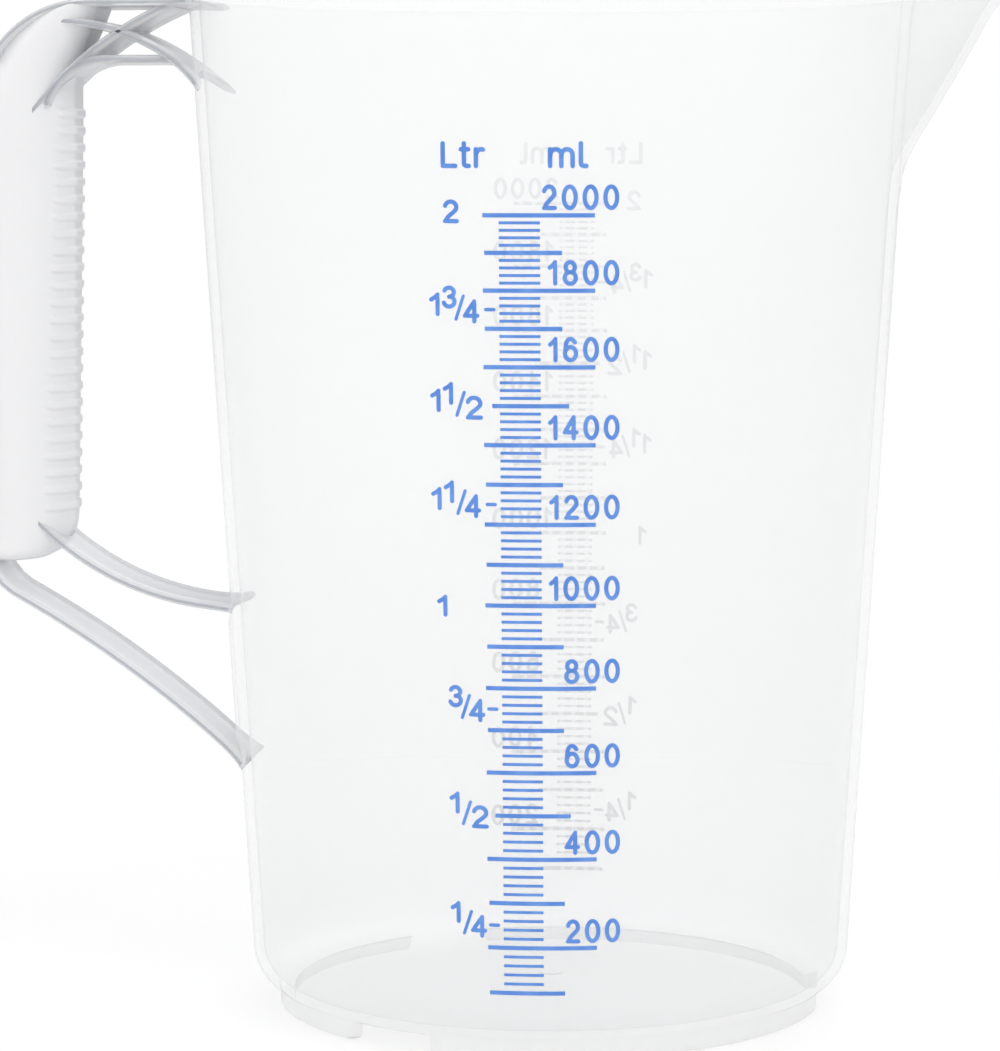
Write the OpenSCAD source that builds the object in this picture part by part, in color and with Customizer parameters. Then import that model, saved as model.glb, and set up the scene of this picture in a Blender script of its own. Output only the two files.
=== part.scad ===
// Graduated two-litre measuring beaker with pouring spout and ribbed closed handle.
// One translucent polypropylene moulding, split at its functional features, with a printed
// volume scale on its front and rear walls. Millimetres, +Z up, spout towards +X,
// handle towards -X. The origin is at the centre of the footprint, on the resting plane.

/* [Vessel] */
// Overall height, from the resting plane to the rim
total_height = 204.5; // [190:0.5:220]
// Height of the inner floor above the resting plane
floor_z = 5; // [4.5:0.1:6]
// Inner radius of the wall, produced down to the floor
floor_inner_r = 59; // [55:0.5:62]
// Growth of the wall radius per millimetre of height
wall_taper = 0.0583; // [0.04:0.0001:0.07]
// Wall thickness
wall = 2; // [1.6:0.1:2.6]
// Radius of the inner corner between floor and wall
heel_inner_r = 7; // [5:0.5:9]
// Height of the thickened band at the rim
rim_band_h = 2; // [1.5:0.1:3]
// How far the rim band stands out from the wall
rim_band_proud = 0.5; // [0.3:0.1:1]

/* [Foot] */
// Outer radius of the foot ring
foot_outer_r = 56; // [50:0.5:57]
// Radial thickness of the foot ring
foot_t = 3; // [2:0.1:4]
// Angle of each gap between two foot segments
foot_gap_angle = 20; // [10:1:40]
// Radius of the gate mark in the floor
gate_mark_r = 2.5; // [2:0.1:4]
// Depth of the gate mark
gate_mark_depth = 0.5; // [0.3:0.1:0.8]

/* [Spout] */
// Reach of the spout tip from the vessel axis
spout_reach = 90; // [84:0.5:96]
// Half width of the spout where it leaves the rim
spout_half_w = 18; // [14:0.5:22]
// Height at which the spout leaves the wall
spout_bottom_z = 171; // [160:0.5:178]
// Radius of the spout tip, seen from above
spout_tip_r = 6; // [4:0.5:8]

/* [Handle] */
// Reach of the handle's outer side from the vessel axis
handle_reach = 116; // [112:0.5:122]
// Radius of the handle's outer top corner
handle_corner_r = 23.5; // [20:0.5:26]
// Thickness of the handle's flanges
flange_t = 1.6; // [1.3:0.1:2]
// Thickness of the crossed ribs and struts
rib_t = 1.7; // [1.4:0.1:2]
// Depth of the handle root, across the vessel
root_depth = 24; // [20:0.5:28]
// Depth of the two struts, across the vessel
strut_depth = 18.5; // [16:0.5:22]
// Plan fillet between the handle root's plates and the wall
root_fillet = 14; // [8:0.5:16]
// Plan fillet between the upper strut and the wall
upper_fillet = 7; // [3:0.5:9]
// Plan fillet between the lower strut and the wall
lower_fillet = 5; // [3:0.5:9]

/* [Grip] */
// Distance of the finger side of the grip from the vessel axis, at its top
grip_inner = 96.6; // [95:0.1:98]
// Distance of the finger side of the grip from the vessel axis, at its bottom
grip_inner_low = 98.3; // [96:0.1:100]
// Depth of the grip, across the vessel, at its top
grip_depth = 24.4; // [24.2:0.1:28]
// Depth of the grip, across the vessel, at its bottom
grip_depth_low = 19; // [18.6:0.1:24]
// Radius of the grip's rounded corners
grip_corner_r = 9; // [7:0.1:9.2]
// Height of the underside of the grip
grip_bottom_z = 90.5; // [88:0.5:93]
// Number of finger ridges
ridge_count = 24; // [12:1:26]
// Height of the highest finger ridge
ridge_top_z = 181.7; // [178:0.1:184]
// Distance from one ridge to the next
ridge_pitch = 3.48; // [3:0.01:3.5]
// Height of one ridge
ridge_h = 1.7; // [1.2:0.1:2]
// How far a ridge stands out
ridge_proud = 0.4; // [0.3:0.1:0.8]

/* [Scale] */
// Highest graduation, in millilitres
scale_max_ml = 2000; // [1000:100:2000]
// Lowest graduation, in millilitres
scale_min_ml = 100; // [100:100:200]
// Step between two graduations, in millilitres
scale_step_ml = 20; // [10:10:50]
// Width of the line of a hundred
major_line_h = 0.8; // [0.6:0.05:1]
// Width of the lines between the hundreds
minor_line_h = 0.55; // [0.4:0.05:0.7]
// Thickness of the ink
ink_t = 0.12; // [0.1:0.01:0.2]

/* [Hidden] */

$fn = 96;

// The footprint's centre lies between the handle's outer side and the spout tip.
axis_x = (handle_reach - spout_reach) / 2;

// The floor plate and the rounded heel below the wall
floor_t = wall;
underside_z = floor_z - floor_t;
heel_outer_r = heel_inner_r + wall;
heel_top_z = floor_z + heel_inner_r + wall;
slant = sqrt(1 + wall_taper * wall_taper);
rim_band_z = total_height - rim_band_h;

function inner_r(z) = floor_inner_r + wall_taper * (z - floor_z);
function outer_r(z) = inner_r(z) + wall;

// Centre of a corner arc that touches the level line at z and the slanted wall
function heel_centre_r(wall_r, corner_r) = wall_r - corner_r * slant;
heel_in_c = heel_centre_r(inner_r(floor_z + heel_inner_r), heel_inner_r);
heel_out_c = heel_centre_r(outer_r(underside_z + heel_outer_r), heel_outer_r);

// Volume that the rounded inner corner takes from the plain cone (Pappus). The corner's
// centroid lies at this share of its radius from the two faces.
corner_centroid = 0.223;
heel_area = (1 - PI / 4) * pow(heel_inner_r, 2);
heel_loss = heel_area * 2 * PI * (floor_inner_r - corner_centroid * heel_inner_r);

// Height of the liquid at a volume in millilitres: the vessel is a cone frustum
function level_z(ml) =
    let (cube_of_r = pow(floor_inner_r, 3) + 3 * wall_taper * (ml * 1000 + heel_loss) / PI)
    floor_z + (pow(cube_of_r, 1 / 3) - floor_inner_r) / wall_taper;

// Handle curves in the plane of the handle: centre [distance from the axis, height], radius
falling_c = [99.1, 158.6];
falling_r = 41.5;
rising_c = [48.7, 138.1];
rising_r = 70.5;
arch_top_z = total_height - 11.2;
arch_low_z = arch_top_z - rib_t;
arch_corner_r = 11.2;
arch_corner_c = [89.2, arch_low_z - arch_corner_r];
upper_c = [63.3, 139.5];
upper_r = 58.1;
lower_c = [223.3, -119.9];
lower_r = 233.4;
// Heights at which the falling rib and the two struts meet the wall
falling_wall_z = 187;
upper_wall_z = 81;
lower_wall_z = 50;

// The elbow turns the lower strut up into the handle's outer side, tangent to both
elbow_r = 10.6;
elbow_u = handle_reach - rib_t / 2 - elbow_r;
elbow_angle = acos((elbow_u - lower_c[0]) / (lower_r + elbow_r));
elbow_c = [elbow_u, lower_c[1] + (lower_r + elbow_r) * sin(elbow_angle)];

flange_z = total_height - flange_t;
corner_c = [handle_reach - handle_corner_r, total_height - handle_corner_r];
// The flange and the elbow sink into the grip at these angles of their own arcs
flange_end_angle = 30;
elbow_end_angle = 340;
grip_foot_r = 9;
grip_round = 2.5;
// Handle outlines are drawn on from here, inside the vessel, before they are trimmed to it
root_u = 60;
root_low_z = 170;
// How far a cutting body passes the surface it cuts
over = 1;

// ---------------------------------------------------------------- helpers

module on_axis() {
    translate([axis_x, 0, 0]) children();
}

// A plate drawn in the handle's plane, with its depth across the vessel
module plate(depth) {
    rotate([90, 0, 0]) linear_extrude(height = depth, center = true) children();
}

// Seen from above: the filled corner between a plate's near side and the wall at height z. Its
// edge is an arc that touches both, so the corner ends where the arc meets the wall.
module plan_corner(depth, fillet, z) {
    arc_y = depth / 2 + fillet;
    arc_u = sqrt(pow(outer_r(z) + fillet, 2) - pow(arc_y, 2));
    touch = outer_r(z) / (outer_r(z) + fillet);
    difference() {
        translate([-arc_u, depth / 2 - over])
            square([arc_u * (1 - touch) + wall, arc_y * touch - depth / 2 + over]);
        translate([-arc_u, arc_y]) circle(r = fillet);
    }
}

// A plate that widens with a fillet at the wall
module filleted_plate(depth, fillet, z) {
    intersection() {
        plate(depth + 2 * fillet) children();
        linear_extrude(height = total_height) {
            translate([-handle_reach, -depth / 2]) square([handle_reach, depth]);
            plan_corner(depth, fillet, z);
            mirror([0, 1]) plan_corner(depth, fillet, z);
        }
    }
}

// Draws towards the handle: the plane's first axis is the distance from the vessel's axis
module towards_handle() {
    mirror([1, 0]) children();
}

// A curved strip of even thickness between two angles, counted from the first axis
module arc_strip(centre, radius, thickness, from, to) {
    reach = 2 * (radius + thickness);
    middle = (from + to) / 2;
    translate(centre)
        intersection() {
            difference() {
                circle(r = radius + thickness / 2, $fn = 180);
                circle(r = radius - thickness / 2, $fn = 180);
            }
            polygon([[0, 0],
                     reach * [cos(from), sin(from)],
                     reach * [cos(middle), sin(middle)],
                     reach * [cos(to), sin(to)]]);
        }
}

// Half outline of a vessel of wall radii r_low and r_high with a rounded lower corner
module vessel_half(z_low, r_low, r_high, corner_c, corner_r) {
    touch = [corner_c + corner_r / slant, z_low + corner_r - corner_r * wall_taper / slant];
    polygon([[0, z_low], [corner_c, z_low], touch, [r_high, total_height], [0, total_height]]);
    translate([corner_c, z_low + corner_r]) circle(r = corner_r);
}

module outside_half() {
    vessel_half(underside_z, outer_r(underside_z), outer_r(total_height), heel_out_c, heel_outer_r);
}

module inside_half() {
    vessel_half(floor_z, inner_r(floor_z), inner_r(total_height), heel_in_c, heel_inner_r);
}

// The vessel's shell between two heights, outside the radius r_from
module shell_band(z_from, z_to, r_from) {
    rotate_extrude()
        intersection() {
            difference() {
                outside_half();
                inside_half();
            }
            translate([r_from, z_from]) square([floor_inner_r * 2, z_to - z_from]);
        }
}

// Everything inside the wall's outer surface
module inside_wall_surface() {
    rotate_extrude() outside_half();
}

// The spout as a solid: straight flanks from a rounded foot on the wall to a rounded tip
module spout_solid(inset) {
    rim_h = 1;
    flank_r = 2.5;
    foot_r = 4;
    flank_x = sqrt(pow(outer_r(total_height), 2) - pow(spout_half_w, 2)) - flank_r;
    flank_y = spout_half_w - flank_r;
    hull() {
        translate([spout_reach - spout_tip_r, 0, total_height - rim_h])
            cylinder(r = spout_tip_r - inset, h = rim_h, $fn = 32);
        for (side = [-1, 1])
            translate([flank_x, side * flank_y, total_height - rim_h])
                cylinder(r = flank_r - inset, h = rim_h, $fn = 32);
        translate([outer_r(spout_bottom_z) - foot_r, 0, spout_bottom_z + inset])
            sphere(r = foot_r - inset, $fn = 24);
    }
}

// ---------------------------------------------------------------- vessel

module body_wall() {
    color([0.93, 0.94, 0.95, 0.5])
        on_axis()
            difference() {
                shell_band(heel_top_z, rim_band_z, 0);
                spout_solid(wall);
            }
}

module base_heel() {
    color([0.91, 0.92, 0.93, 0.5])
        on_axis() shell_band(underside_z, heel_top_z, heel_in_c);
}

module floor_plate() {
    color([0.92, 0.93, 0.94, 0.5])
        on_axis()
            difference() {
                translate([0, 0, underside_z]) cylinder(r = heel_in_c, h = floor_t);
                translate([0, 0, floor_z - gate_mark_depth])
                    cylinder(r = gate_mark_r, h = floor_t, $fn = 48);
            }
}

module rim_lip() {
    color([0.95, 0.96, 0.97, 0.5])
        on_axis()
            difference() {
                rotate_extrude()
                    polygon([[inner_r(rim_band_z), rim_band_z],
                             [outer_r(rim_band_z) + rim_band_proud, rim_band_z],
                             [outer_r(total_height) + rim_band_proud, total_height],
                             [inner_r(total_height), total_height]]);
                spout_solid(wall);
            }
}

module spout() {
    color([0.93, 0.94, 0.95, 0.5])
        on_axis()
            difference() {
                spout_solid(0);
                spout_solid(wall);
                inside_wall_surface();
                rotate_extrude()
                    translate([0, rim_band_z])
                        square([outer_r(total_height) + rim_band_proud, rim_band_h + over]);
            }
}

// ---------------------------------------------------------------- foot

module foot_segment(turn) {
    color([0.90, 0.91, 0.92, 0.5])
        on_axis()
            rotate([0, 0, turn + foot_gap_angle / 2])
                rotate_extrude(angle = 120 - foot_gap_angle)
                    translate([foot_outer_r - foot_t, 0]) square([foot_t, underside_z]);
}

// ---------------------------------------------------------------- handle

// Trims a handle piece so that it ends on the vessel's outer surface
module clear_of_vessel() {
    difference() {
        children();
        inside_wall_surface();
        translate([0, 0, rim_band_z])
            cylinder(r = outer_r(total_height) + rim_band_proud, h = rim_band_h + over);
    }
}

// Trims a handle piece so that it ends on the grip
module clear_of_grip() {
    difference() {
        children();
        grip_solid(0);
    }
}

// Level top flange, then the rounded outer corner
module flange_outline() {
    translate([root_u, flange_z]) square([corner_c[0] - root_u, flange_t]);
    arc_strip(corner_c, handle_corner_r - flange_t / 2, flange_t, flange_end_angle, 90);
}

module handle_flange() {
    color([0.88, 0.89, 0.91, 0.6])
        on_axis()
            clear_of_vessel()
                filleted_plate(root_depth, root_fillet, total_height)
                    towards_handle() flange_outline();
}

// The ribs stay under the flange and end inside the grip
module rib_window() {
    translate([root_u, root_low_z]) square([handle_reach - root_u, flange_z - root_low_z]);
}

// Rib that falls from the grip's top to the vessel wall
module falling_outline() {
    intersection() {
        arc_strip(falling_c, falling_r, rib_t, 91, 150);
        rib_window();
    }
}

// Rib that rises from the grip's finger side to the top flange
module rising_outline() {
    intersection() {
        arc_strip(rising_c, rising_r, rib_t, 38, 75);
        rib_window();
    }
}

module cross_rib_rising() {
    color([0.82, 0.83, 0.85, 0.7])
        on_axis()
            clear_of_grip()
                plate(root_depth) towards_handle() rising_outline();
}

module cross_rib_falling() {
    color([0.84, 0.85, 0.87, 0.7])
        on_axis()
            clear_of_grip()
                clear_of_vessel()
                    filleted_plate(root_depth, root_fillet, falling_wall_z)
                        towards_handle()
                            difference() {
                                falling_outline();
                                rising_outline();
                            }
}

// Level chord over the finger hole, rounded down into the rising rib
module arch_outline() {
    arch_end = grip_inner + 0.4;
    difference() {
        intersection() {
            translate([root_u, arch_corner_c[1]])
                square([arch_end - root_u, arch_top_z - arch_corner_c[1]]);
            translate(rising_c) circle(r = rising_r - rib_t / 2, $fn = 180);
            translate(falling_c) circle(r = falling_r - rib_t / 2, $fn = 180);
        }
        translate([root_u, arch_corner_c[1] - over])
            square([arch_corner_c[0] - root_u, arch_corner_r + over]);
        translate(arch_corner_c) circle(r = arch_corner_r, $fn = 180);
    }
}

module handle_arch() {
    color([0.83, 0.84, 0.86, 0.7])
        on_axis()
            clear_of_grip()
                clear_of_vessel()
                    plate(root_depth) towards_handle() arch_outline();
}

// ---------------------------------------------------------------- grip

// Thin slice of the grip at a height: a rounded rectangle, grown by a margin on every side
module grip_slice(z, inner, depth, grow) {
    r = grip_corner_r + grow;
    slice_h = 0.1;
    for (u = [inner + grip_corner_r, handle_reach - grip_corner_r], side = [-1, 1])
        translate([-u, side * (depth / 2 - grip_corner_r), z])
            cylinder(r = r, h = slice_h, $fn = 32);
}

// The grip narrows downwards and rounds off at its underside
module grip_taper(grow) {
    hull() {
        grip_slice(corner_c[1], grip_inner, grip_depth, grow);
        grip_slice(grip_bottom_z + grip_round, grip_inner_low, grip_depth_low, grow);
        grip_slice(grip_bottom_z, grip_inner_low + grip_round, grip_depth_low - 2 * grip_round,
                   grow - grip_round / 2);
    }
    hull() {
        grip_slice(corner_c[1], grip_inner, grip_depth, grow);
        grip_slice(total_height, grip_inner, grip_depth, grow);
    }
}

// Side view of the grip: all that lies inside the handle's outer contour, with the foot
// rounded on its finger side and carried down to the elbow on its outer side
module grip_outline() {
    foot_c = [grip_inner_low + grip_foot_r, grip_bottom_z + grip_foot_r];
    difference() {
        union() {
            translate([corner_c[0] - over, foot_c[1]])
                square([handle_reach - corner_c[0] + over, corner_c[1] - foot_c[1]]);
            translate([foot_c[0], elbow_c[1]])
                square([handle_reach - foot_c[0], foot_c[1] - elbow_c[1] + over]);
            translate(corner_c) circle(r = handle_corner_r, $fn = 180);
            intersection() {
                translate(foot_c) circle(r = grip_foot_r);
                translate([grip_inner_low, grip_bottom_z]) square([grip_foot_r + over, grip_foot_r + over]);
            }
            intersection() {
                translate(elbow_c) circle(r = elbow_r + rib_t / 2);
                translate([foot_c[0], grip_bottom_z]) square([grip_foot_r, grip_foot_r]);
            }
        }
        flange_outline();
        elbow_outline();
    }
}

module grip_solid(grow) {
    intersection() {
        grip_taper(grow);
        plate(grip_depth + 2 * over) towards_handle() grip_outline();
    }
}

module grip_column() {
    color([0.94, 0.94, 0.94, 0.8])
        on_axis() grip_solid(0);
}

// The ridges wrap round the finger side and fade out on the grip's cheeks
module grip_ridges() {
    wrap = 5.5;
    color([0.90, 0.91, 0.92, 0.8])
        on_axis()
            difference() {
                intersection() {
                    grip_taper(ridge_proud);
                    for (i = [0 : ridge_count - 1])
                        translate([-grip_inner - wrap, -grip_depth,
                                   ridge_top_z - i * ridge_pitch - ridge_h / 2])
                            cube([2 * wrap, 2 * grip_depth, ridge_h]);
                }
                grip_taper(0);
            }
}

// ---------------------------------------------------------------- struts

module upper_outline() {
    arc_strip(upper_c, upper_r, rib_t, 265, 316);
}

module upper_strut() {
    color([0.86, 0.87, 0.90, 0.7])
        on_axis()
            clear_of_grip()
                clear_of_vessel()
                    filleted_plate(strut_depth, upper_fillet, upper_wall_z)
                        towards_handle() upper_outline();
}

module lower_outline() {
    arc_strip(lower_c, lower_r, rib_t, elbow_angle, elbow_angle + 20);
}

module lower_strut() {
    color([0.86, 0.87, 0.89, 0.7])
        on_axis()
            clear_of_vessel()
                filleted_plate(strut_depth, lower_fillet, lower_wall_z)
                    towards_handle() lower_outline();
}

// The handle's outer side carries on round the foot of the grip, into the lower strut
module elbow_outline() {
    arc_strip(elbow_c, elbow_r, rib_t, elbow_angle + 180, elbow_end_angle);
}

module strut_elbow() {
    color([0.87, 0.88, 0.90, 0.7])
        on_axis() plate(strut_depth) towards_handle() elbow_outline();
}

// Slightly thickened strip of wall between the two struts
module strut_pad() {
    pad_t = 0.8;
    low = 50;
    high = 81.5;
    color([0.89, 0.90, 0.91, 0.6])
        on_axis()
            difference() {
                intersection() {
                    rotate_extrude()
                        polygon([[outer_r(low), low], [outer_r(low) + pad_t, low],
                                 [outer_r(high) + pad_t, high], [outer_r(high), high]]);
                    translate([-outer_r(high), 0, (low + high) / 2])
                        cube([30, strut_depth - 1, high], center = true);
                }
                plate(strut_depth) towards_handle() upper_outline();
                plate(strut_depth)
                    towards_handle()
                        for (drop = [0 : 0.5 : 2])
                            translate([0, -drop]) lower_outline();
            }
}

// ---------------------------------------------------------------- printed scale

// One line of ink lying on the wall, between two distances along it from the scale's centre line
module ink_line(z, line_h, from, to) {
    r = outer_r(z);
    turn = 180 / PI / r;
    low = z - line_h / 2;
    high = z + line_h / 2;
    rotate([0, 0, from * turn])
        rotate_extrude(angle = (to - from) * turn, $fn = 360)
            polygon([[outer_r(low), low], [outer_r(low) + ink_t, low],
                     [outer_r(high) + ink_t, high], [outer_r(high), high]]);
}

// Where the line of a volume starts and ends, along the wall from the scale's centre line
function line_from(ml) =
    ml % 1000 == 500 ? -5.3
    : ml % 200 == 0 ? -6.9
    : ml % 100 == 0 ? -6.6
    : -3.85;
function line_to(ml) =
    ml % 1000 == 500 ? 9
    : ml % 200 == 0 ? 13.9
    : ml % 100 == 0 ? 7.8
    : 3.75;

module scale_lines() {
    for (ml = [scale_min_ml : scale_step_ml : scale_max_ml])
        ink_line(level_z(ml), ml % 100 == 0 ? major_line_h : minor_line_h,
                 line_from(ml), line_to(ml));
}

module scale_front() {
    color([0.24, 0.45, 0.82])
        on_axis() rotate([0, 0, -90]) scale_lines();
}

module scale_rear() {
    color([0.24, 0.45, 0.82])
        on_axis() rotate([0, 0, 90]) scale_lines();
}

// ---------------------------------------------------------------- nodes

body_wall();
base_heel();
floor_plate();
rim_lip();
spout();
foot_segment(240);  // foot_segment_front
foot_segment(0);  // foot_segment_rear
foot_segment(120);  // foot_segment_handle
handle_flange();
cross_rib_falling();
cross_rib_rising();
handle_arch();
grip_column();
grip_ridges();
upper_strut();
lower_strut();
strut_elbow();
strut_pad();
scale_front();
scale_rear();
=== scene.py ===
"""Graduated two-litre measuring beaker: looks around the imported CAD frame.

Lengths in this file are millimetres in the vessel's own coordinates (axis at 0, +X to the
spout, the handle on -X) until a mesh is made; make_mesh() turns them into metres in the row
frame.
"""
import math

import bmesh
import bpy
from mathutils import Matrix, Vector


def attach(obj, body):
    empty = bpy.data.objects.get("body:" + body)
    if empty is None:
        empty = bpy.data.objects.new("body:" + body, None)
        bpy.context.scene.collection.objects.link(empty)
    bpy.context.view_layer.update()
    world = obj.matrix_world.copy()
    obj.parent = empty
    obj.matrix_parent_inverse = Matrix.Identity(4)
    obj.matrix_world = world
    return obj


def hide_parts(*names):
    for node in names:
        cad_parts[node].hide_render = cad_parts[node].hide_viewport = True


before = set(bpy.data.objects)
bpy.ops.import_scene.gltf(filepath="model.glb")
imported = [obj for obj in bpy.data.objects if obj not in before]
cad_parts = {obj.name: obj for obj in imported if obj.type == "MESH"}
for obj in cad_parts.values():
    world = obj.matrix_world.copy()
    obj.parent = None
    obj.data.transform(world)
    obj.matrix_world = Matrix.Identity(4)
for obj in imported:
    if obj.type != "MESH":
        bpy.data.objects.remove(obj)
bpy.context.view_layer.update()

# ------------------------------------------------------------------ dimensions
AXIS_X = 13.0                # the vessel's axis in the row frame
TOP = 204.5
FLOOR_Z = 5.0                # inner floor
UNDER_Z = 3.0                # underside of the floor, above the foot
FLOOR_R = 59.0               # inner radius at the floor
TAPER = 0.0583               # growth of the radius per unit of height
WALL = 2.0
HEEL_IN = 7.0                # radius of the curve between floor and wall
HEEL_OUT = HEEL_IN + WALL
SLANT = math.sqrt(1 + TAPER * TAPER)
WALL_LEAN = math.atan(TAPER)
BAND_Z = TOP - 2.0           # lower edge of the rim band
BAND_PROUD = 0.5
FOOT_R_OUT, FOOT_R_IN = 56.0, 53.0
FOOT_PITCH = 120             # degrees from one foot gap to the next
FOOT_GAP_HALF = 10           # half angle of a gap
GATE_R, GATE_DEPTH = 2.5, 0.5
PAD_Z = (50.0, 81.5)         # thickened strip under the struts
PAD_T = 0.8
PAD_HALF = 8.75

SPOUT_Z = 171.0              # foot of the spout
SPOUT_SPAN = math.radians(40)
KEEL_X, KEEL_REACH, KEEL_BOW = 70.7, 19.3, 0.09
TIP_R = (4.0, 6.0)           # radius of the keel's round, at the spout's foot and at the rim
FLANK_HALF, FLANK_FLARE, FLANK_POWER = 7.5, 10.5, 0.59
BLEND_OUT, BLEND_IN = 3.2, 2.4


def clamp(x, lo=0.0, hi=1.0):
    return max(lo, min(hi, x))


def smooth(a, b, x):
    t = clamp((x - a) / (b - a))
    return t * t * (3 - 2 * t)


def lerp(a, b, t):
    return a + (b - a) * t


def smax(a, b, k):
    """Maximum with a fillet of size k between the two."""
    h = max(k - abs(a - b), 0.0) / k
    return max(a, b) + h * h * k / 4


def r_in(z):
    return FLOOR_R + TAPER * (z - FLOOR_Z)


def r_out(z):
    return r_in(z) + WALL


HEEL_IN_C = r_in(FLOOR_Z + HEEL_IN) - HEEL_IN * SLANT
HEEL_OUT_C = r_out(UNDER_Z + HEEL_OUT) - HEEL_OUT * SLANT


# ------------------------------------------------------------------ vessel
def spout_radius(theta, z, inset):
    """Distance from the axis to the spout's skin along a direction, or 0 where it has none.

    Directions run from 0 to 2 pi, so only the half of the spout on +Y passes the first test."""
    t = (z - SPOUT_Z) / (TOP - SPOUT_Z)
    if t < -0.15 or abs(theta) > SPOUT_SPAN:
        return 0.0
    wall_r = r_out(z)
    tip_x = KEEL_X + KEEL_REACH * t * (1 + KEEL_BOW * (1 - t))
    tip_r = lerp(*TIP_R, clamp(t))
    half_w = FLANK_HALF + FLANK_FLARE * max(t, 0.0) ** FLANK_POWER
    centre = tip_x - tip_r
    wall_x = math.sqrt(wall_r ** 2 - half_w ** 2)
    # tangent from the foot of the flank to the tip circle
    dx, dy = wall_x - centre, half_w
    swing = math.acos(clamp(tip_r / math.hypot(dx, dy), -1, 1))
    normal = math.atan2(dy, dx) - swing
    nx, ny = math.cos(normal), math.sin(normal)
    a = abs(theta)
    radius = tip_r - inset
    touch = math.atan2(radius * ny, centre + radius * nx)
    if a <= touch:
        s = centre * math.sin(a)
        return centre * math.cos(a) + math.sqrt(max(radius * radius - s * s, 0.0))
    facing = nx * math.cos(a) + ny * math.sin(a)
    flank = (centre * nx + radius) / facing if facing > 0.05 else 0.0
    # past the flank's foot the line sinks into the wall
    past = a - math.atan2(half_w, wall_x)
    return flank if past <= 0 else min(flank, wall_r - inset - 0.6 * past * wall_r)


def outer_radius(theta, z):
    r = r_out(z)
    away = abs(math.atan2(math.sin(theta - math.pi), math.cos(theta - math.pi))) * r
    pad = (1 - smooth(PAD_HALF - 0.8, PAD_HALF, away)) * smooth(PAD_Z[0], PAD_Z[0] + 1.5, z)
    r += PAD_T * pad * (1 - smooth(PAD_Z[1] - 1.5, PAD_Z[1], z))
    spout = spout_radius(theta, z, 0.0)
    return smax(r, spout, BLEND_OUT) if spout else r


def inner_radius(theta, z):
    spout = spout_radius(theta, z, WALL)
    return smax(r_in(z), spout, BLEND_IN) if spout else r_in(z)


def columns():
    """Angles of the vessel's columns, closer together at the spout, the pad and the foot's gaps."""
    angles = {round(i * 2.5, 3) for i in range(144)}
    angles |= {round((i * 0.35) % 360, 3) for i in range(-60, 61)}
    angles |= {round(180 + i * 0.5, 3) for i in range(-24, 25)}
    angles |= {round((gap + side * FOOT_GAP_HALF + step) % 360, 3)
               for gap in range(0, 360, FOOT_PITCH)
               for side in (-1, 1)
               for step in (-0.35, -0.12, 0.12, 0.35)}
    out = []
    for a in sorted(angles):
        if not out or a - out[-1] > 0.09:
            out.append(a)
    return [math.radians(a) for a in out]


def foot_share(theta):
    """1 on a foot segment, 0 in a gap."""
    deg = math.degrees(theta) % FOOT_PITCH
    from_gap = min(deg, FOOT_PITCH - deg)
    return smooth(FOOT_GAP_HALF - 0.25, FOOT_GAP_HALF + 0.25, from_gap)


def under_heel(r):
    """Height of the heel's underside at a radius."""
    run = max(r - HEEL_OUT_C, 0)
    return UNDER_Z + HEEL_OUT - math.sqrt(max(HEEL_OUT ** 2 - run ** 2, 0))


def vessel_profile(theta):
    """Section of the vessel at an angle, from the inner floor's centre round to the underside's."""
    gate_z = FLOOR_Z - GATE_DEPTH
    pts = [(1.2, gate_z), (GATE_R - 0.25, gate_z), (GATE_R - 0.05, gate_z + 0.12),
           (GATE_R + 0.05, FLOOR_Z - 0.1), (GATE_R + 0.3, FLOOR_Z)]
    pts += [(r, FLOOR_Z) for r in (6, 12, 20, 28, 36, 44, 49, HEEL_IN_C - 0.4)]
    steps = 12
    for i in range(steps + 1):
        a = -math.pi / 2 + (math.pi / 2 - WALL_LEAN) * i / steps
        pts.append((HEEL_IN_C + HEEL_IN * math.cos(a), FLOOR_Z + HEEL_IN + HEEL_IN * math.sin(a)))
    z = 18.0
    rows = []
    while z < TOP - 1.0:
        rows.append(z)
        z += 6.0 if z < 42 else 4.0 if z < 164 else 1.5
    pts += [(inner_radius(theta, z), z) for z in rows]
    ri, ro = inner_radius(theta, TOP), outer_radius(theta, TOP)
    pts += [(ri, TOP - 0.45), (ri + 0.12, TOP - 0.13), (ri + 0.45, TOP)]
    pts += [(ro + BAND_PROUD - 0.45, TOP), (ro + BAND_PROUD - 0.12, TOP - 0.13),
            (ro + BAND_PROUD, TOP - 0.45)]
    rb = outer_radius(theta, BAND_Z)
    pts += [(outer_radius(theta, BAND_Z + 0.25) + BAND_PROUD, BAND_Z + 0.25),
            (rb + BAND_PROUD * 0.8, BAND_Z + 0.03), (rb + 0.12, BAND_Z - 0.2)]
    pts += [(outer_radius(theta, z), z) for z in reversed(rows) if z < BAND_Z - 0.6]
    share = foot_share(theta)
    for i in range(9):
        a = -WALL_LEAN - (math.pi / 2 - WALL_LEAN) * i / 8 * 0.66
        pts.append((HEEL_OUT_C + HEEL_OUT * math.cos(a),
                    UNDER_Z + HEEL_OUT + HEEL_OUT * math.sin(a)))
    foot = [(FOOT_R_OUT + 0.25, None), (FOOT_R_OUT + 0.02, 3.3), (FOOT_R_OUT, 0.4),
            (FOOT_R_OUT - 0.12, 0.12), (FOOT_R_OUT - 0.4, 0.0), (FOOT_R_IN + 0.4, 0.0),
            (FOOT_R_IN + 0.12, 0.12), (FOOT_R_IN, 0.4), (FOOT_R_IN - 0.02, 2.8),
            (FOOT_R_IN - 0.3, None)]
    for r, z in foot:
        free = under_heel(r)
        pts.append((r, free if z is None else lerp(free, z, share)))
    pts += [(r, UNDER_Z) for r in (50, 44, 36, 28, 20, 12, 6, 2)]
    return pts


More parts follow.
